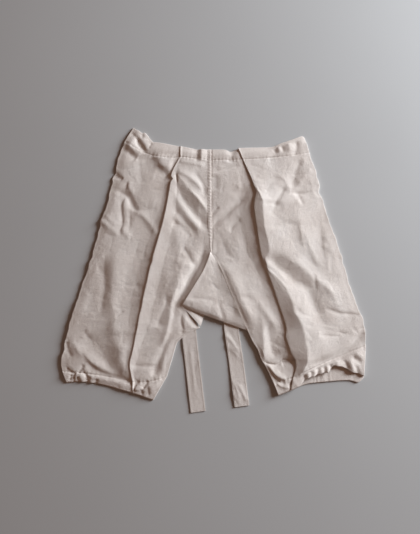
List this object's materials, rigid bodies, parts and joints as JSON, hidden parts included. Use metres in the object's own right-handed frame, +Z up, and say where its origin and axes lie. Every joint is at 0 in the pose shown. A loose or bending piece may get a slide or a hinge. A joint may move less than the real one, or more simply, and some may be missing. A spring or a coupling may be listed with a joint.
{
  "type": "hakama",
  "caption": "Short off-white cotton hakama laid flat, front up: pleated legs, gusset, gathered elastic waist and cuffs, ties from the back waist.",
  "frame": {"origin": "middle of the garment's box, on the surface it lies on", "axes": "+X to the right as it lies front up, +Y towards the waist, +Z up, through its thickness"},
  "size_m": [0.5842, 0.5828, 0.009],
  "materials": {
    "panel": "matte plain-weave cotton, unpressed",
    "casing": "matte plain-weave cotton, doubled over elastic",
    "tie": "matte plain-weave cotton, doubled and edge-stitched"
  },
  "bodies": {
    "root": {"front_left": "panel", "front_right": "panel", "back_left": "panel", "back_right": "panel", "gusset_front": "panel", "gusset_back": "panel", "centre_seam": "casing", "waist_front_left": "casing", "waist_front_right": "casing", "waist_back": "casing", "cuff_left_front": "casing", "cuff_left_back": "casing", "cuff_right_front": "casing", "cuff_right_back": "casing", "tie_left": "tie", "tie_right": "tie"}
  },
  "joints": []
}
